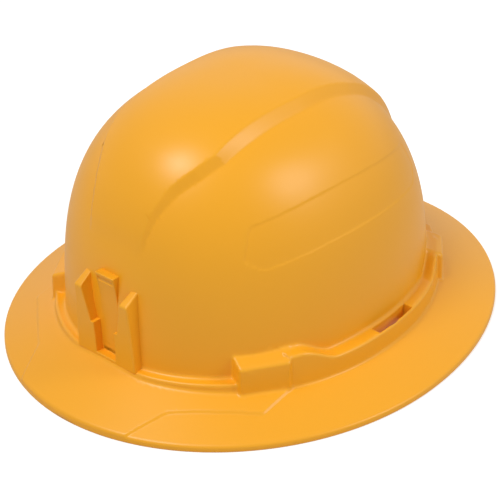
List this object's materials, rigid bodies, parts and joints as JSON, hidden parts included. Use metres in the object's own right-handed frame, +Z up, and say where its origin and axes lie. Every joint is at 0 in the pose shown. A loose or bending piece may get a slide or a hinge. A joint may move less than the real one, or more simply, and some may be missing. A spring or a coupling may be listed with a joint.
{
  "type": "full brim hard hat",
  "caption": "Full brim hard hat: moulded shell with a raised crown band and rib, four point webbing suspension and a knob that tightens the headband.",
  "frame": {"origin": "centre of the box in plan, on the plane of the brim's edge that the hat rests on", "axes": "+Z up through the crown, -Y towards the front of the hat, +X towards the wearer's left"},
  "size_m": [0.281, 0.3358, 0.1668],
  "materials": {
    "shell_plastic": "satin moulded plastic, yellow orange",
    "key_plastic": "satin black moulded plastic",
    "webbing": "woven black webbing",
    "pad_fabric": "dark knitted fabric over foam",
    "band_plastic": "flexible dark plastic",
    "button_plastic": "dark grey plastic",
    "adjuster_plastic": "fine textured black plastic",
    "knob_plastic": "black grip plastic",
    "screw_steel": "zinc plated steel"
  },
  "bodies": {
    "root": {"shell": "shell_plastic", "key_front_left": "key_plastic", "key_front_right": "key_plastic", "key_rear_left": "key_plastic", "key_rear_right": "key_plastic", "crown_strap_lower": "webbing", "crown_strap_upper": "webbing", "crown_pad": "pad_fabric", "headband": "band_plastic", "sweatband": "pad_fabric", "pivot_button_left": "button_plastic", "pivot_button_right": "button_plastic"},
    "nape_yoke": {"ratchet_housing": "adjuster_plastic", "ratchet_cover": "adjuster_plastic", "cover_screws": "screw_steel", "nape_pad": "pad_fabric"},
    "adjuster_knob": {"knob": "knob_plastic", "pinion": "button_plastic", "detent_spring": "button_plastic", "knob_screw": "screw_steel"},
    "left_strap": {"nape_strap_left": "band_plastic"},
    "right_strap": {"nape_strap_right": "band_plastic"}
  },
  "joints": [
    {"name": "nape_tilt", "type": "hinge", "parent": "root", "child": "nape_yoke", "pos_m": [0, 0.004, 0.022], "axis": [1, 0, 0], "range_deg": [-2, 24]},
    {"name": "knob_turn", "type": "hinge", "parent": "nape_yoke", "child": "adjuster_knob", "pos_m": [0, 0.0934, 0.022], "axis": [0, 1, 0], "range_deg": [-171, 171]},
    {"name": "left_strap_slide", "type": "hinge", "parent": "nape_yoke", "child": "left_strap", "pos_m": [0, 0.004, 0.022], "axis": [0, 0, 1], "range_deg": [-10.9, 10.9]},
    {"name": "right_strap_slide", "type": "hinge", "parent": "nape_yoke", "child": "right_strap", "pos_m": [0, 0.004, 0.022], "axis": [0, 0, 1], "range_deg": [-10.9, 10.9]}
  ],
  "couplings": [
    {"joint": "left_strap_slide", "follows": "knob_turn", "ratio": 0.063171},
    {"joint": "right_strap_slide", "follows": "knob_turn", "ratio": -0.061767}
  ]
}
